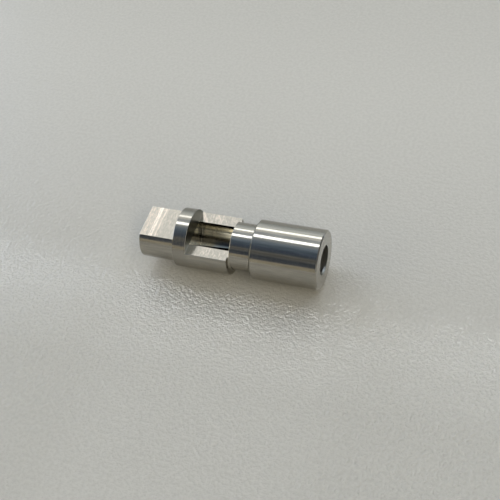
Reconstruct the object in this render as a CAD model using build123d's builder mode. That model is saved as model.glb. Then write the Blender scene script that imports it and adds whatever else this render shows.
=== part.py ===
from build123d import *
import os

os.makedirs("parts", exist_ok=True)

# Valve sleeve: one turned and milled piece, lying with its axis along X
# Stations run along the axis from the tang end. Z is up, square to the milled flats.

# Diameters, mm
body_diameter = 10.0
tang_diameter = 8.5
neck_diameter = 8.0
chamber_diameter = 6.0
mouth_diameter = 5.0

# Stations along the axis, mm
tang_length = 6.2
collar_length = 2.3
shoulder_station = 15.6
window_end_station = 15.8
head_start_station = 19.5
total_length = 30.9

# Milled flats, mm
tang_across_flats = 5.65
window_flat_height = 1.55

# Edges, mm
shoulder_fillet = 0.4
head_chamfer = 0.2
edge_break = 0.1

# Derived sizes
body_radius = body_diameter / 2
tang_radius = tang_diameter / 2
neck_radius = neck_diameter / 2
chamber_radius = chamber_diameter / 2
mouth_radius = mouth_diameter / 2
window_start_station = tang_length + collar_length
window_length = window_end_station - window_start_station


# Position along X of a station, with the origin at the middle of the length
def along(station):
    return station - total_length / 2


# Turned outline with its bore, drawn as a half section above the axis
section_points = [
    (along(0), 0),
    (along(0), tang_radius),
    (along(tang_length), tang_radius),
    (along(tang_length), body_radius),
    (along(shoulder_station), body_radius),
    (along(shoulder_station), neck_radius),
    (along(head_start_station), neck_radius),
    (along(head_start_station), body_radius),
    (along(total_length), body_radius),
    (along(total_length), mouth_radius),
    (along(window_end_station), mouth_radius),
    (along(window_end_station), chamber_radius),
    (along(window_start_station), chamber_radius),
    (along(window_start_station), 0),
]

with BuildPart() as valve_sleeve:
    with BuildSketch(Plane.XZ) as half_section:
        with BuildLine():
            Polyline(*section_points, close=True)
        make_face()

        # Corner of the outline nearest to a station and radius
        def corner(station, radius):
            return half_section.vertices().sort_by_distance((along(station), radius, 0))[0]

        fillet(corner(shoulder_station, neck_radius), shoulder_fillet)
        chamfer(corner(head_start_station, body_radius), head_chamfer)
        chamfer(corner(total_length, body_radius), head_chamfer)
        chamfer(corner(0, tang_radius), edge_break)
        chamfer(corner(tang_length, body_radius), edge_break)
        chamfer(corner(shoulder_station, body_radius), edge_break)
    revolve(axis=Axis.X)

    # Two parallel flats on the tang
    with Locations((along(0), 0, tang_across_flats / 2)):
        Box(tang_length, tang_diameter, tang_radius, align=(Align.MIN, Align.CENTER, Align.MIN),
            mode=Mode.SUBTRACT)
    with Locations((along(0), 0, -tang_across_flats / 2)):
        Box(tang_length, tang_diameter, tang_radius, align=(Align.MIN, Align.CENTER, Align.MAX),
            mode=Mode.SUBTRACT)

    # Window milled across the top, open to the chamber below
    with Locations((along(window_start_station), 0, window_flat_height)):
        Box(window_length, body_diameter, body_radius, align=(Align.MIN, Align.CENTER, Align.MIN),
            mode=Mode.SUBTRACT)

valve_sleeve.part.label = "valve_sleeve"
export_step(valve_sleeve.part, "parts/valve_sleeve.step")
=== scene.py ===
import math

import bmesh
import bpy
from mathutils import Matrix, Vector


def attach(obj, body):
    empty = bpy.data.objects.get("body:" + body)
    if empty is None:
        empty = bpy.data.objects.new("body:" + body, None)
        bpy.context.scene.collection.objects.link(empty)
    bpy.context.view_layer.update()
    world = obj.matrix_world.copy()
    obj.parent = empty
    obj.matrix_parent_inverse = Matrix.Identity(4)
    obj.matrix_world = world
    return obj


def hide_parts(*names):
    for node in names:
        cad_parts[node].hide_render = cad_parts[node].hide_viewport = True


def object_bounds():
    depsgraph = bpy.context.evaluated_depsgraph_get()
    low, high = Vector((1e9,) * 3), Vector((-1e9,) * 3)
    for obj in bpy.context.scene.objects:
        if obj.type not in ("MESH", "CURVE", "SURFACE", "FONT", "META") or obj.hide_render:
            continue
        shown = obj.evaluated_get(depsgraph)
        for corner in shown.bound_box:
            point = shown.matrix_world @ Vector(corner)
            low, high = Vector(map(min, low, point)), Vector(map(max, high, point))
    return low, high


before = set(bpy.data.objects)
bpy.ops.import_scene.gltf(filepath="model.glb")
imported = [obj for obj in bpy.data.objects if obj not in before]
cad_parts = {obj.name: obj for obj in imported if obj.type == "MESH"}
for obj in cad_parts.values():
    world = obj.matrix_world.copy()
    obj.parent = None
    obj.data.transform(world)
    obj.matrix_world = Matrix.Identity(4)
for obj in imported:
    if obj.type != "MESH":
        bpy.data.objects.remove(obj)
cad_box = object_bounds()
scene = bpy.context.scene

MM = 0.001

# Sizes of the part, millimetres. Its axis is X, with the middle of its length at 0 and the mouth at +X
MOUTH_END = cad_box[1].x / MM
TANG_END = cad_box[0].x / MM
BODY_RADIUS = cad_box[1].y / MM
TANG_RADIUS = 4.25
NECK_RADIUS = 4.0
CHAMBER_RADIUS = 3.0
MOUTH_RADIUS = 2.5
COLLAR_START = TANG_END + 6.2
WINDOW_START = TANG_END + 8.5
SHOULDER = TANG_END + 15.6
WINDOW_END = TANG_END + 15.8
HEAD_START = TANG_END + 19.5
TANG_FLAT = 2.825
WINDOW_FLAT = 1.55
SHOULDER_FILLET = 0.4
HEAD_CHAMFER = 0.2
EDGE_BREAK = 0.1
CHAMBER_CORNER = 0.15
EDGE_ROUNDING = 0.035

# Thread start at the mouth, millimetres. Its root and the end where it fades lie inside the steel.
START_HEIGHT = 0.2
START_WIDTH = 0.6
START_FLANK = 0.3
START_CREST = 0.1
START_SET_BACK = 0.04
START_BURIED = 0.02
START_ROOT = 0.1

# Its angles from +Y over +Z, degrees: where it starts, how soon it is at full height, and where it ends
START_ANGLE = -79
START_RISE = 3
START_FADE_ANGLE = -140

# Steps round the lathe, along an arc of the section and along the thread start
LATHE_SIDES = 272
ARC_STEPS = 6
START_STEPS = 22

# How far the blocks that cut reach past the part, and the slack in finding a face, millimetres
CUT_MARGIN = 1
SLACK = 0.01


# Node helpers


def new_material(name):
    """A material with an empty node tree, its Principled shader and its output."""
    material = bpy.data.materials.new(name)
    material.use_nodes = True
    tree = material.node_tree
    tree.nodes.clear()
    shader = tree.nodes.new("ShaderNodeBsdfPrincipled")
    output = tree.nodes.new("ShaderNodeOutputMaterial")
    tree.links.new(shader.outputs["BSDF"], output.inputs["Surface"])
    return material, tree, shader


def put(tree, kind, inputs=None, **settings):
    """Adds a node, sets its properties, and sets or links its inputs."""
    node = tree.nodes.new(kind)
    for key, value in settings.items():
        setattr(node, key, value)
    for key, value in (inputs or {}).items():
        if isinstance(value, bpy.types.NodeSocket):
            tree.links.new(value, node.inputs[key])
        else:
            node.inputs[key].default_value = value
    return node


def maths(tree, operation, *values):
    """The output of a Math node."""
    inputs = dict(enumerate(values))
    return put(tree, "ShaderNodeMath", inputs, operation=operation).outputs[0]


def ramp(tree, factor, stops, interpolation="LINEAR"):
    """The colour output of a ramp with stops of (place, (r, g, b))."""
    node = put(tree, "ShaderNodeValToRGB", {"Fac": factor})
    node.color_ramp.interpolation = interpolation
    elements = node.color_ramp.elements
    while len(elements) < len(stops):
        elements.new(0.5)
    for element, (place, colour) in zip(elements, stops):
        element.position = place
        element.color = (*colour, 1)
    return node.outputs["Color"]


def ramp_over(tree, value, stops, interpolation="LINEAR"):
    """Colour by a value, from stops of (value, (r, g, b))."""
    low, high = stops[0][0], stops[-1][0]
    inputs = {"Value": value, "From Min": low, "From Max": high}
    share = put(tree, "ShaderNodeMapRange", inputs).outputs[0]
    shares = [((place - low) / (high - low), colour) for place, colour in stops]
    return ramp(tree, share, shares, interpolation)


def mix_colours(tree, factor, first, second):
    """Two colours mixed, each given as a socket or as (r, g, b)."""
    node = put(tree, "ShaderNodeMix", {"Factor": factor}, data_type="RGBA")
    for key, colour in (("A", first), ("B", second)):
        if isinstance(colour, tuple):
            node.inputs[key].default_value = (*colour, 1)
        else:
            tree.links.new(colour, node.inputs[key])
    return node.outputs["Result"]


def noise(tree, place, scale, detail):
    """Noise in space."""
    inputs = {"Vector": place, "Scale": scale, "Detail": detail}
    return put(tree, "ShaderNodeTexNoise", inputs).outputs["Fac"]


def ease(tree, value, low, high, to_low=0.0, to_high=1.0):
    """value carried smoothly from the range low to high to the range to_low to to_high."""
    return put(tree, "ShaderNodeMapRange", {
        "Value": value, "From Min": low, "From Max": high, "To Min": to_low, "To Max": to_high,
    }, interpolation_type="SMOOTHSTEP").outputs[0]


# Camera, from the perspective fit to the photo. Degrees, and millimetres from the middle of the part
CAMERA_TURN = (25.0331, 49.4569, -9.9328)
CAMERA_PLACE = (50.987, -103.504, 132.972)
SENSOR_WIDTH = 36
FOCAL_LENGTH = 76.0556


def add_camera():
    """The camera, by its azimuth from -Y to +X, its elevation and its roll."""
    azimuth, elevation, roll = (math.radians(angle) for angle in CAMERA_TURN)
    back = Vector((
        math.sin(azimuth) * math.cos(elevation),
        -math.cos(azimuth) * math.cos(elevation),
        math.sin(elevation),
    ))
    level = (-back).cross(Vector((0, 0, 1))).normalized()
    upright = level.cross(-back)
    right = level * math.cos(roll) + upright * math.sin(roll)
    up = upright * math.cos(roll) - level * math.sin(roll)
    data = bpy.data.cameras.new("camera")
    data.sensor_width = SENSOR_WIDTH
    data.lens = FOCAL_LENGTH
    data.clip_start = 0.01
    data.clip_end = 20
    camera = bpy.data.objects.new("camera", data)
    scene.collection.objects.link(camera)
    turn = Matrix((right, up, back)).transposed().to_4x4()
    camera.matrix_world = Matrix.Translation(Vector(CAMERA_PLACE) * MM) @ turn
    scene.camera = camera


add_camera()


# Lamps and surroundings

# Strip lamps, metres. The glint lamp is nearer, so that no other strip hides it.
REACH = 0.9
GLINT_REACH = 0.8
STRIP_LENGTH = 1.1
STRIP_MIDDLE = -0.15


def add_strip(name, turn, spread, radiance, colour, reach=REACH):
    """A strip over the part. turn is its angle over the near horizon and spread its width, in degrees."""
    width = 2 * reach * math.tan(math.radians(spread) / 2)
    data = bpy.data.lights.new(name, "AREA")
    data.shape = "RECTANGLE"
    data.size = STRIP_LENGTH
    data.size_y = width
    data.energy = radiance * math.pi * STRIP_LENGTH * width
    data.color = colour
    lamp = bpy.data.objects.new(name, data)
    scene.collection.objects.link(lamp)
    angle = math.radians(turn)
    out = Vector((0, -math.cos(angle), math.sin(angle)))
    along = Vector((1, 0, 0))
    place = out * reach + along * STRIP_MIDDLE
    facing = Matrix((along, out.cross(along), out)).transposed().to_4x4()
    lamp.matrix_world = Matrix.Translation(place) @ facing
    return lamp


# Two of the strips show in what is glossy and leave the shadow as it is
lamp_over = add_strip("lamp_over", 103, 9.5, 3.3, (0.99, 1.015, 1.035))
lamp_over.visible_diffuse = False
add_strip("lamp_rear", 137.5, 8.5, 1.95, (1.0, 1.015, 1.02))
lamp_glint = add_strip("lamp_glint", 105, 8, 8.0, (1.0, 1.0, 1.0), GLINT_REACH)
lamp_glint.visible_diffuse = False

# Surroundings in stretches from -X to +X. Each has its radiance by the angle over the near horizon
LEFT_SKY = [
    (0, (3.15, 3.0, 2.5)),
    (30, (1.8, 1.7, 1.4)),
    (60, (1.0, 0.95, 0.8)),
    (86, (0.5, 0.5, 0.5)),
    (107, (0.5, 0.52, 0.57)),
    (116, (2.5, 2.9, 3.6)),
    (130, (2.5, 2.9, 3.6)),
    (145, (2.0, 2.35, 2.9)),
    (158, (1.6, 1.85, 2.3)),
    (168, (0.5, 0.55, 0.6)),
    (180, (0.4, 0.45, 0.5)),
]
FRONT_SKY = [
    (-5, (0.36, 0.33, 0.26)),
    (11, (0.36, 0.33, 0.26)),
    (14, (0.08, 0.091, 0.11)),
    (27, (0.05, 0.061, 0.079)),
    (34, (0.13, 0.137, 0.14)),
    (39.5, (0.1, 0.1, 0.096)),
    (44, (0.17, 0.172, 0.165)),
    (49, (0.065, 0.081, 0.102)),
    (57, (0.065, 0.087, 0.131)),
    (72, (0.11, 0.151, 0.202)),
    (84, (0.21, 0.262, 0.335)),
    (91, (0.32, 0.355, 0.383)),
    (108, (0.49, 0.527, 0.55)),
    (119, (0.46, 0.507, 0.555)),
    (125, (0.78, 0.8, 0.79)),
    (132, (0.8, 0.81, 0.78)),
    (150, (0.86, 0.915, 0.92)),
    (162, (0.63, 0.68, 0.695)),
    (176, (0.39, 0.41, 0.41)),
    (200, (0.28, 0.29, 0.28)),
]
RIGHT_SKY = [
    (0, (1.4, 1.35, 1.15)),
    (30, (4.1, 3.85, 3.25)),
    (45, (6.2, 5.9, 5.0)),
    (70, (5.1, 4.85, 4.2)),
    (90, (0.6, 0.6, 0.6)),
    (107, (0.5, 0.52, 0.57)),
    (116, (1.65, 1.95, 2.5)),
    (130, (1.4, 1.65, 2.1)),
    (145, (1.0, 1.2, 1.5)),
    (157, (2.9, 3.45, 4.3)),
    (165, (0.4, 0.45, 0.55)),
    (180, (0.3, 0.35, 0.4)),
]
END_SKY = [
    (0, (0.16, 0.16, 0.16)),
    (180, (0.16, 0.16, 0.16)),
]

# Where each stretch gives way to the next, as shares of the way to +X
EDGES = [(-0.62, -0.5), (0.4, 0.52), (0.56, 0.68)]


def make_world():
    """The surroundings, by direction alone."""
    world = bpy.data.worlds.new("surroundings")
    scene.world = world
    world.use_nodes = True
    tree = world.node_tree
    tree.nodes.clear()
    direction = put(tree, "ShaderNodeTexCoord").outputs["Generated"]
    parts = put(tree, "ShaderNodeSeparateXYZ", {"Vector": direction}).outputs
    nearness = maths(tree, "MULTIPLY", parts["Y"], -1.0)
    turn = maths(tree, "DEGREES", maths(tree, "ARCTAN2", parts["Z"], nearness))
    colour = ramp_over(tree, turn, LEFT_SKY)
    for edge, stops in zip(EDGES, (FRONT_SKY, RIGHT_SKY, END_SKY)):
        colour = mix_colours(tree, ease(tree, parts["X"], *edge), colour, ramp_over(tree, turn, stops))
    background = put(tree, "ShaderNodeBackground", {"Color": colour, "Strength": 1.0})
    output = put(tree, "ShaderNodeOutputWorld")
    tree.links.new(background.outputs[0], output.inputs["Surface"])


make_world()


# Floor, a pale pebbled plastic sheet. Half its width in metres, its gloss and its colours
FLOOR_HALF = 3.0
FLOOR_IOR = 1.6
FLOOR_DARK = (0.54, 0.515, 0.46)
FLOOR_LIGHT = (0.58, 0.555, 0.498)

# How fine its pebbles and grain are, the grain's share of the height, and the height in metres
PEBBLE_SCALE = 1800.0
GRAIN_SCALE = 4000.0
GRAIN_SHARE = 0.35
RELIEF = 0.00014

# How far the relief shows, by the place along Y in metres and, in front of the part, by the one along X
RELIEF_BY_Y = [
    (-0.05, 0.45), (-0.032, 0.85), (-0.024, 0.95), (-0.017, 0.85), (-0.012, 0.9), (-0.0075, 1.0),
    (-0.0045, 0.6), (0.0, 0.45), (0.015, 0.4), (0.03, 0.3), (0.06, 0.16),
]
RELIEF_BY_X = [(-0.035, 1.25), (-0.022, 1.25), (-0.012, 1.0), (0.015, 1.0), (0.026, 1.3), (0.04, 1.4)]

# How dull and how shiny the sheet is by the same places. Its gloss is clearest just in front of the part.
DULLNESS_BY_Y = [(-0.05, 0.26), (-0.022, 0.25), (-0.013, 0.13), (-0.004, 0.11), (0.015, 0.25)]
DULLNESS_BY_X = [(-0.035, 0.12), (-0.021, 0.1), (-0.011, 0.0), (0.016, 0.0), (0.027, 0.1), (0.04, 0.12)]
SHINE_BY_Y = [(-0.05, 0.12), (-0.025, 0.18), (-0.016, 0.35), (-0.011, 0.5), (0.015, 0.5)]
SHINE_BY_X = [
    (-0.045, 1.0), (-0.03, 0.8), (-0.021, 0.7), (-0.011, 1.0), (0.016, 1.0), (0.027, 0.8), (0.045, 1.0),
]

# The dullest that the sheet gets, and how softly it stops there. A duller one shows a faint seam.
DULLEST = 0.265
DULLEST_SOFTNESS = 0.04

# Places along Y, metres, between which the changes along X fade out towards the back
CHANGES_FULL = -0.014
CHANGES_GONE = 0.006


def grey_over(tree, value, stops, interpolation="LINEAR"):
    """A number by a value, from stops of (value, number)."""
    greys = [(place, (number,) * 3) for place, number in stops]
    return ramp_over(tree, value, greys, interpolation)


def by_place(tree, parts, operation, by_y, by_x):
    """A number by the place along Y. In front of the part, the one along X is added or multiplied in."""
    neutral = 1.0 if operation == "MULTIPLY" else 0.0
    in_front = ease(tree, parts["Y"], CHANGES_FULL, CHANGES_GONE, to_low=1.0, to_high=0.0)
    change = maths(tree, "SUBTRACT", grey_over(tree, parts["X"], by_x, "EASE"), neutral)
    sideways = maths(tree, "MULTIPLY_ADD", in_front, change, neutral)
    return maths(tree, operation, grey_over(tree, parts["Y"], by_y, "EASE"), sideways)


def floor_material():
    material, tree, shader = new_material("floor_sheet")
    place = put(tree, "ShaderNodeTexCoord").outputs["Object"]
    pebble = noise(tree, place, PEBBLE_SCALE, detail=1.0)
    grain = noise(tree, place, GRAIN_SCALE, detail=0.0)
    tone = ramp(tree, pebble, [(0.35, FLOOR_DARK), (0.65, FLOOR_LIGHT)])
    tree.links.new(tone, shader.inputs["Base Color"])
    parts = put(tree, "ShaderNodeSeparateXYZ", {"Vector": place}).outputs
    dullness = by_place(tree, parts, "ADD", DULLNESS_BY_Y, DULLNESS_BY_X)
    dullness = maths(tree, "SMOOTH_MIN", dullness, DULLEST, DULLEST_SOFTNESS)
    tree.links.new(dullness, shader.inputs["Roughness"])
    shine = by_place(tree, parts, "MULTIPLY", SHINE_BY_Y, SHINE_BY_X)
    tree.links.new(shine, shader.inputs["Specular IOR Level"])
    shader.inputs["IOR"].default_value = FLOOR_IOR
    height = maths(tree, "MULTIPLY_ADD", grain, GRAIN_SHARE, pebble)
    shown = by_place(tree, parts, "MULTIPLY", RELIEF_BY_Y, RELIEF_BY_X)
    raised = put(tree, "ShaderNodeBump", {"Height": height, "Strength": shown, "Distance": RELIEF})
    tree.links.new(raised.outputs["Normal"], shader.inputs["Normal"])
    return material


def add_floor():
    """The floor under the part, the only thing that the glint lamp lights."""
    height = cad_box[0].z
    mesh = bpy.data.meshes.new("floor")
    half = FLOOR_HALF
    corners = [(-half, -half, height), (half, -half, height), (half, half, height), (-half, half, height)]
    mesh.from_pydata(corners, [], [(0, 1, 2, 3)])
    mesh.materials.append(floor_material())
    floor = bpy.data.objects.new("floor", mesh)
    scene.collection.objects.link(floor)
    lit = bpy.data.collections.new("lit_by_glint")
    lit.objects.link(floor)
    lamp_glint.light_linking.receiver_collection = lit


add_floor()


# Steel

# Colours of the finishes, and how much duller the collar is
STEEL_DARK = (0.43, 0.411, 0.366)
STEEL_LIGHT = (0.54, 0.516, 0.459)
COLLAR_TONE = (0.44, 0.418, 0.37)
COLLAR_DULLER = 0.03
MILLED_GREY = (0.66, 0.625, 0.56)
MILLED_CREAM = (0.93, 0.83, 0.73)
WALL_DARK = (0.27, 0.265, 0.235)
WALL_LIGHT = (0.34, 0.335, 0.3)
DRILLED_DARK = (0.27, 0.26, 0.23)
DRILLED_LIGHT = (0.38, 0.365, 0.325)

# The detail of the noise behind the cutter marks, and the range of it that a finish uses
MARK_DETAIL = 2.0
NOISE_LOW = 0.3
NOISE_HIGH = 0.7

# Heights of the cutter marks, metres
FINE_MARK = 0.000001
MARK = 0.000002
COARSE_MARK = 0.000003
FLAT_STEP = 0.00003

# How close the rings on a face are, set against those along X
FACE_LAY = 0.6

# How strong the fine lines and the streaks of the flats are
FLAT_FINE = 0.8
FLAT_STREAKS = 2.2


def product(tree, first, second):
    """Two vectors or colours multiplied part by part."""
    inputs = {0: first, 1: second}
    return put(tree, "ShaderNodeVectorMath", inputs, operation="MULTIPLY").outputs["Vector"]


def lay(tree):
    """The place on the sleeve, its parts, and how far it lies across the rings: along X and outwards."""
    place = put(tree, "ShaderNodeTexCoord").outputs["Object"]
    parts = put(tree, "ShaderNodeSeparateXYZ", {"Vector": place}).outputs
    across = put(tree, "ShaderNodeCombineXYZ", {"Y": parts["Y"], "Z": parts["Z"]}).outputs[0]
    radius = put(tree, "ShaderNodeVectorMath", {0: across}, operation="LENGTH").outputs["Value"]
    return place, parts, maths(tree, "MULTIPLY_ADD", radius, FACE_LAY, parts["X"])


def set_lay(tree, shader, amount):
    """Spreads the gloss across the lay, which runs round the axis."""
    tangent = put(tree, "ShaderNodeTangent", direction_type="RADIAL", axis="X").outputs[0]
    tree.links.new(tangent, shader.inputs["Tangent"])
    shader.inputs["Anisotropic"].default_value = amount
    shader.inputs["Anisotropic Rotation"].default_value = 0.25


def lines(tree, across, scale):
    """Noise that varies only across the lay."""
    inputs = {"W": across, "Scale": scale, "Detail": MARK_DETAIL}
    return put(tree, "ShaderNodeTexNoise", inputs, noise_dimensions="1D").outputs["Fac"]


def streaks(tree, place, stretch, scale):
    """Noise drawn out by the stretch of each axis."""
    return noise(tree, product(tree, place, stretch), scale, MARK_DETAIL)


def between(tree, marks, dark, light):
    """A colour from dark to light by the noise of the marks."""
    return ramp(tree, marks, [(NOISE_LOW, dark), (NOISE_HIGH, light)])


def bump(tree, height, distance, normal=None):
    """A normal raised by a height, over another normal where one is given."""
    inputs = {"Height": height, "Strength": 1.0, "Distance": distance}
    if normal is not None:
        inputs["Normal"] = normal
    return put(tree, "ShaderNodeBump", inputs).outputs["Normal"]


def collar_share(tree, along):
    """1 on the collar and 0 away from it, with a soft change at its end towards the window."""
    low, high = (COLLAR_START - 0.05) * MM, COLLAR_START * MM
    from_tang = ease(tree, along, low, high)
    low, high = (WINDOW_START - 0.2) * MM, (WINDOW_START + 0.8) * MM
    to_window = ease(tree, along, low, high, to_low=1.0, to_high=0.0)
    return maths(tree, "MULTIPLY", from_tang, to_window)


def turned_material():
    """Turned steel, with fine rings and faint streaks along the axis."""
    material, tree, shader = new_material("steel_turned")
    place, parts, across = lay(tree)
    rings = lines(tree, across, scale=2500.0)
    drawn = streaks(tree, place, stretch=(0.1, 1.0, 1.0), scale=3000.0)
    tone = between(tree, drawn, STEEL_DARK, STEEL_LIGHT)
    on_collar = collar_share(tree, parts["X"])
    # The collar gets a darker colour, which dims its highlights
    collar_darkened = mix_colours(tree, on_collar, tone, COLLAR_TONE)
    tree.links.new(collar_darkened, shader.inputs["Base Color"])
    dullness = ease(tree, rings, NOISE_LOW, NOISE_HIGH, to_low=0.11, to_high=0.16)
    dullness = maths(tree, "MULTIPLY_ADD", on_collar, COLLAR_DULLER, dullness)
    tree.links.new(dullness, shader.inputs["Roughness"])
    shader.inputs["Metallic"].default_value = 1.0
    on_end = maths(tree, "GREATER_THAN", parts["X"], (MOUTH_END - SLACK) * MM)
    tint = mix_colours(tree, on_end, (0.75, 0.75, 0.75), (1.0, 1.0, 1.0))
    tree.links.new(tint, shader.inputs["Specular Tint"])
    set_lay(tree, shader, amount=0.6)
    normal = bump(tree, rings, FINE_MARK)
    tree.links.new(bump(tree, drawn, MARK, normal), shader.inputs["Normal"])
    return material


# Straight cutter lines on the flats by their station along X, millimetres: how cream, and how high
FLAT_LINES = [
    (-15.45, 0.62), (-13.88, 0.66), (-13.76, 1.0), (-13.66, 0.7), (-13.55, 1.0),
    (-13.3, 1.0), (-13.2, 0.6), (-12.8, 0.55), (-12.7, 0.95), (-12.58, 0.35),
    (-12.2, 0.12), (-9.25, 0.05), (-6.95, 0.05), (-4.2, 0.2), (-4.1, 0.5),
    (-4.0, 0.2), (-3.2, 0.35), (-3.0, 0.1), (0.15, 0.05),
]
FLAT_HEIGHTS = [
    (-15.45, 0.0), (-13.85, 0.0), (-13.74, 0.35), (-13.64, 0.1),
    (-13.3, 1.0), (-12.85, 0.6), (-12.65, 1.0), (0.15, 1.0),
]

# Slope that the far flat of the window shows, about a degree
FAR_LEAN = 0.02

# Slanting marks on that flat, by their station carried over to y = 0
FAR_SLANT = 0.65
FAR_MARKS = [
    (-4.3, 0.0), (-4.1, 1.0), (-3.7, 1.0), (-3.45, 0.0), (-1.35, 0.0), (-1.2, 0.4),
    (-1.05, 0.4), (-0.9, 0.0), (-0.25, 0.0), (-0.15, 0.5), (-0.05, 0.0), (1.0, 0.0),
]


def far_flat(tree, parts, station):
    """1 on the far flat of the window, and 0 on the near one and on the tang."""
    behind = maths(tree, "GREATER_THAN", parts["Y"], 0.0)
    past_tang = maths(tree, "GREATER_THAN", station, COLLAR_START)
    return maths(tree, "MULTIPLY", behind, past_tang)


def milled_grain(tree, place, parts):
    """Fine lines and streaks of the cutter, as much over 0 as under it."""
    fine = lines(tree, parts["X"], scale=6000.0)
    fine = maths(tree, "MULTIPLY_ADD", fine, FLAT_FINE, -FLAT_FINE / 2)
    drawn = streaks(tree, place, stretch=(1.0, 0.35, 1.0), scale=3400.0)
    drawn = maths(tree, "MULTIPLY_ADD", drawn, FLAT_STREAKS, -FLAT_STREAKS / 2)
    return maths(tree, "ADD", fine, drawn)


def milled_material():
    """Milled flats, cream-bright, with cutter lines across the axis."""
    material, tree, shader = new_material("steel_milled")
    place, parts, _ = lay(tree)
    station = maths(tree, "DIVIDE", parts["X"], MM)
    slanted = maths(tree, "MULTIPLY_ADD", maths(tree, "DIVIDE", parts["Y"], MM), FAR_SLANT, station)
    far = far_flat(tree, parts, station)
    marks = maths(tree, "MULTIPLY", grey_over(tree, slanted, FAR_MARKS), far)
    grain = milled_grain(tree, place, parts)
    cream = maths(tree, "ADD", grey_over(tree, station, FLAT_LINES), maths(tree, "ADD", marks, grain))
    tone = mix_colours(tree, cream, MILLED_GREY, MILLED_CREAM)
    tree.links.new(tone, shader.inputs["Base Color"])
    shader.inputs["Metallic"].default_value = 1.0
    shader.inputs["Roughness"].default_value = 0.14
    set_lay(tree, shader, amount=0.2)
    steps = bump(tree, grey_over(tree, station, FLAT_HEIGHTS), FLAT_STEP)
    lean = bump(tree, maths(tree, "MULTIPLY", far, parts["Y"]), FAR_LEAN, steps)
    tree.links.new(bump(tree, grain, COARSE_MARK, lean), shader.inputs["Normal"])
    return material


# Colour of the chamber by the station along X, millimetres, with painted shade: darker towards the
# collar's wall at the window's start, lighter towards the head.
PAINTED_BORE_SHADE = [
    (-6.95, (0.4, 0.375, 0.31)),
    (-5.0, (0.53, 0.5, 0.425)),
    (-2.0, (0.7, 0.66, 0.56)),
    (0.0, (0.86, 0.8, 0.68)),
]

# Painted light and shade in the chamber by the place along Y, millimetres: darker from 1.6 to 2.8 on the
# far lower side, and brighter under 1.2.
PAINTED_BORE_LIGHT = [
    (1.2, 1.5), (1.6, 0.25), (1.9, 0.28), (2.25, 0.4), (2.6, 0.58), (2.8, 0.6), (2.95, 0.9), (3.0, 1.0),
]


def bored_material():
    """The chamber, bored, duller and browner, with painted light and shade in its colour."""
    material, tree, shader = new_material("steel_bored")
    place, parts, across = lay(tree)
    rings = lines(tree, across, scale=3500.0)
    drawn = streaks(tree, place, stretch=(0.25, 1.0, 1.0), scale=2000.0)
    tone = between(tree, drawn, (0.9, 0.9, 0.9), (1.0, 1.0, 1.0))
    # Painted shade along the chamber, darker towards the collar's wall
    painted_shade = ramp_over(tree, maths(tree, "DIVIDE", parts["X"], MM), PAINTED_BORE_SHADE)
    both = product(tree, tone, painted_shade)
    # Painted light and shade across the chamber, by the place along Y
    painted_light = grey_over(tree, maths(tree, "DIVIDE", parts["Y"], MM), PAINTED_BORE_LIGHT)
    tree.links.new(product(tree, both, painted_light), shader.inputs["Base Color"])
    shader.inputs["Metallic"].default_value = 1.0
    dullness = ease(tree, rings, NOISE_LOW, NOISE_HIGH, to_low=0.15, to_high=0.21)
    tree.links.new(dullness, shader.inputs["Roughness"])
    set_lay(tree, shader, amount=0.4)
    tree.links.new(bump(tree, rings, FINE_MARK), shader.inputs["Normal"])
    return material


def wall_material():
    """Less bright than the rest: the window's walls, the chamfer behind the neck and the thread start."""
    material, tree, shader = new_material("steel_wall")
    place, _, _ = lay(tree)
    drawn = streaks(tree, place, stretch=(1.0, 1.0, 0.3), scale=2500.0)
    tree.links.new(between(tree, drawn, WALL_DARK, WALL_LIGHT), shader.inputs["Base Color"])
    shader.inputs["Metallic"].default_value = 1.0
    shader.inputs["Specular Tint"].default_value = (0.35, 0.35, 0.32, 1)
    shader.inputs["Roughness"].default_value = 0.32
    tree.links.new(bump(tree, drawn, MARK), shader.inputs["Normal"])
    return material


def drilled_material():
    """The mouth's bore, left dull by the drill."""
    material, tree, shader = new_material("steel_drilled")
    _, _, across = lay(tree)
    rings = lines(tree, across, scale=5000.0)
    tree.links.new(between(tree, rings, DRILLED_DARK, DRILLED_LIGHT), shader.inputs["Base Color"])
    shader.inputs["Metallic"].default_value = 1.0
    shader.inputs["Roughness"].default_value = 0.36
    tree.links.new(bump(tree, rings, COARSE_MARK), shader.inputs["Normal"])
    return material


# Shape of the sleeve, made in millimetres and scaled at the end


def arc(centre, radius, start, end):
    """Points of an arc in the section plane, from angle start to end in degrees."""
    points = []
    for step in range(ARC_STEPS + 1):
        angle = math.radians(start + (end - start) * step / ARC_STEPS)
        points.append((centre[0] + radius * math.cos(angle), centre[1] + radius * math.sin(angle)))
    return points


def half_section():
    """The turned outline with its bore, as (station, radius) points from axis to axis."""
    shoulder_centre = (SHOULDER + SHOULDER_FILLET, NECK_RADIUS + SHOULDER_FILLET)
    corner_centre = (WINDOW_START + CHAMBER_CORNER, CHAMBER_RADIUS - CHAMBER_CORNER)
    return [
        (TANG_END, 0),
        (TANG_END, TANG_RADIUS - EDGE_BREAK),
        (TANG_END + EDGE_BREAK, TANG_RADIUS),
        (COLLAR_START, TANG_RADIUS),
        (COLLAR_START, BODY_RADIUS - EDGE_BREAK),
        (COLLAR_START + EDGE_BREAK, BODY_RADIUS),
        (SHOULDER - EDGE_BREAK, BODY_RADIUS),
        (SHOULDER, BODY_RADIUS - EDGE_BREAK),
        *arc(shoulder_centre, SHOULDER_FILLET, 180, 270),
        (HEAD_START, NECK_RADIUS),
        (HEAD_START, BODY_RADIUS - HEAD_CHAMFER),
        (HEAD_START + HEAD_CHAMFER, BODY_RADIUS),
        (MOUTH_END - HEAD_CHAMFER, BODY_RADIUS),
        (MOUTH_END, BODY_RADIUS - HEAD_CHAMFER),
        (MOUTH_END, MOUTH_RADIUS),
        (WINDOW_END, MOUTH_RADIUS),
        (WINDOW_END, CHAMBER_RADIUS),
        *arc(corner_centre, CHAMBER_CORNER, 90, 180),
        (WINDOW_START, 0),
    ]


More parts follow.
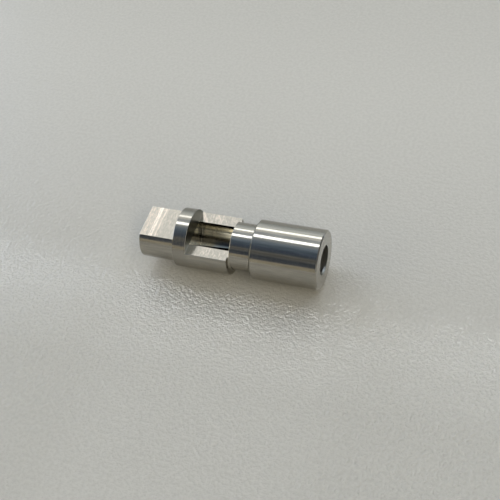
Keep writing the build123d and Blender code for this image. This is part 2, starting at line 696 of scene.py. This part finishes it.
def add_ring(mesh, station, radius):
    """One ring of the lathe, or a single vertex on the axis."""
    if radius == 0:
        return [mesh.verts.new((station, 0, 0))] * LATHE_SIDES
    ring = []
    for side in range(LATHE_SIDES):
        angle = 2 * math.pi * side / LATHE_SIDES
        ring.append(mesh.verts.new((station, radius * math.cos(angle), radius * math.sin(angle))))
    return ring


def bridge(mesh, first, second):
    """Faces between two rings."""
    for side in range(LATHE_SIDES):
        after = (side + 1) % LATHE_SIDES
        corners = [first[side], first[after], second[after], second[side]]
        mesh.faces.new(list(dict.fromkeys(corners)))


def lathe(name, outline):
    """A solid turned about X from its outline."""
    mesh = bmesh.new()
    rings = [add_ring(mesh, station, radius) for station, radius in outline]
    for first, second in zip(rings, rings[1:]):
        bridge(mesh, first, second)
    bmesh.ops.recalc_face_normals(mesh, faces=mesh.faces)
    return new_object(name, mesh)


def new_object(name, mesh):
    """Moves a bmesh into an object of that name."""
    data = bpy.data.meshes.new(name)
    mesh.to_mesh(data)
    mesh.free()
    item = bpy.data.objects.new(name, data)
    scene.collection.objects.link(item)
    return item


def block(name, low, high):
    """A box that cuts, given by two corners."""
    mesh = bmesh.new()
    bmesh.ops.create_cube(mesh, size=1)
    size = Vector(high) - Vector(low)
    middle = (Vector(high) + Vector(low)) / 2
    for vertex in mesh.verts:
        vertex.co = middle + Vector(a * b for a, b in zip(vertex.co, size))
    return new_object(name, mesh)


def start_section(share):
    """Section of the thread start at a share of its length, as (station, radius) points."""
    root = MOUTH_RADIUS + START_ROOT
    front = MOUTH_END - START_SET_BACK
    rise = min(1, share * (START_ANGLE - START_FADE_ANGLE) / START_RISE)
    crest = MOUTH_RADIUS + START_BURIED - (START_HEIGHT + START_BURIED) * rise * math.sqrt(1 - share)
    return [
        (front, root),
        (front, MOUTH_RADIUS),
        (front - START_FLANK, crest),
        (front - START_FLANK - START_CREST, crest),
        (front - START_WIDTH, root),
    ]


def thread_start():
    """The ridge just inside the mouth, high at one end and fading round the bore."""
    mesh = bmesh.new()
    rings = []
    for step in range(START_STEPS + 1):
        share = step / START_STEPS
        angle = math.radians(START_ANGLE + (START_FADE_ANGLE - START_ANGLE) * share)
        section = start_section(share)
        rings.append([mesh.verts.new((x, r * math.cos(angle), r * math.sin(angle))) for x, r in section])
    for first, second in zip(rings, rings[1:]):
        for index in range(len(first)):
            after = (index + 1) % len(first)
            mesh.faces.new((first[index], first[after], second[after], second[index]))
    mesh.faces.new(rings[0])
    mesh.faces.new(rings[-1])
    bmesh.ops.recalc_face_normals(mesh, faces=mesh.faces)
    return new_object("thread_start", mesh)


def combine(item, tool, operation):
    """Applies a boolean of tool to item and removes the tool."""
    modifier = item.modifiers.new(operation.lower(), "BOOLEAN")
    modifier.operation = operation
    modifier.solver = "EXACT"
    modifier.object = tool
    apply_modifiers(item)
    bpy.data.objects.remove(tool)


def apply_modifiers(item):
    """Leaves the item with the mesh that its modifiers make."""
    bpy.context.view_layer.update()
    evaluated = item.evaluated_get(bpy.context.evaluated_depsgraph_get())
    data = bpy.data.meshes.new_from_object(evaluated)
    item.modifiers.clear()
    item.data = data


def sleeve_shape():
    """The turned solid with its flats and window milled, and the thread start."""
    item = lathe("sleeve", half_section())
    wide = BODY_RADIUS + CUT_MARGIN
    cuts = [
        block("tang_top", (TANG_END - CUT_MARGIN, -wide, TANG_FLAT), (COLLAR_START, wide, wide)),
        block("tang_under", (TANG_END - CUT_MARGIN, -wide, -wide), (COLLAR_START, wide, -TANG_FLAT)),
        block("window", (WINDOW_START, -wide, WINDOW_FLAT), (WINDOW_END, wide, wide)),
    ]
    for cut in cuts:
        combine(item, cut, "DIFFERENCE")
    combine(item, thread_start(), "UNION")
    return item


# How far a face's normal lies along an axis for the face to count as square to it
SQUARE = 0.999

# Millimetres within which vertices are one, and degrees up to which faces are one plane or one smooth
# surface, and over which an edge is rounded
MERGE_DISTANCE = 0.0005
PLANE_ANGLE = 0.2
SMOOTH_ANGLE = 22
ROUNDED_ANGLE = 50

TURNED, MILLED, BORED, WALL, DRILLED = range(5)
FINISHES = (turned_material, milled_material, bored_material, wall_material, drilled_material)


def is_milled(face, middle):
    """Whether a face is one of the flats."""
    on_tang = abs(abs(middle.z) - TANG_FLAT) < SLACK
    on_window = abs(middle.z - WINDOW_FLAT) < SLACK
    return abs(face.normal.z) > SQUARE and (on_tang or on_window)


def is_wall(face, middle, radius):
    """Whether a face has the walls' finish, outside the bore."""
    in_window = WINDOW_START - SLACK < middle.x < WINDOW_END + SLACK and middle.z > WINDOW_FLAT
    behind_neck = HEAD_START < middle.x < HEAD_START + HEAD_CHAMFER
    on_chamfer = behind_neck and radius > BODY_RADIUS - HEAD_CHAMFER
    return on_chamfer or (in_window and abs(face.normal.x) > SQUARE)


def finish_inside(middle, radius):
    """Which finish a face of the bore has. The faces well inside its wall are the thread start's."""
    by_mouth = middle.x > MOUTH_END - START_SET_BACK - START_WIDTH
    if by_mouth and radius < MOUTH_RADIUS - START_BURIED:
        return WALL
    return DRILLED if middle.x > WINDOW_END - SLACK else BORED


def finish_of(face):
    """Which finish a face of the sleeve has, from its place and direction."""
    middle = face.calc_center_median()
    radius = math.hypot(middle.y, middle.z)
    if is_milled(face, middle):
        return MILLED
    if is_wall(face, middle, radius):
        return WALL
    between_ends = WINDOW_START - SLACK < middle.x < MOUTH_END - SLACK
    if between_ends and radius < CHAMBER_RADIUS + SLACK:
        return finish_inside(middle, radius)
    return TURNED


def finish_faces(item):
    """Gives each face its finish, merges the faces that lie in one plane and marks the sharp edges."""
    mesh = bmesh.new()
    mesh.from_mesh(item.data)
    bmesh.ops.remove_doubles(mesh, verts=mesh.verts, dist=MERGE_DISTANCE)
    for face in mesh.faces:
        face.smooth = True
        face.material_index = finish_of(face)
    bmesh.ops.dissolve_limit(
        mesh, angle_limit=math.radians(PLANE_ANGLE), verts=mesh.verts, edges=mesh.edges,
        delimit={"MATERIAL"})
    for edge in mesh.edges:
        edge.smooth = edge.calc_face_angle(0) < math.radians(SMOOTH_ANGLE)
    mesh.to_mesh(item.data)
    mesh.free()


def round_edges(item):
    """Rounds the sharp edges, with normals that keep the flats flat."""
    bevel = item.modifiers.new("edges", "BEVEL")
    bevel.width = EDGE_ROUNDING
    bevel.segments = 2
    bevel.limit_method = "ANGLE"
    bevel.angle_limit = math.radians(ROUNDED_ANGLE)
    bevel.use_clamp_overlap = False
    normals = item.modifiers.new("normals", "WEIGHTED_NORMAL")
    normals.keep_sharp = True
    apply_modifiers(item)


def dress(item):
    """Gives the sleeve its finishes and rounded edges, and brings it to metres."""
    for make in FINISHES:
        item.data.materials.append(make())
    finish_faces(item)
    round_edges(item)
    item.data.transform(Matrix.Scale(MM, 4))


sleeve = sleeve_shape()
dress(sleeve)
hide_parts("valve_sleeve")
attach(sleeve, "root")

scene.view_settings.view_transform = "Standard"
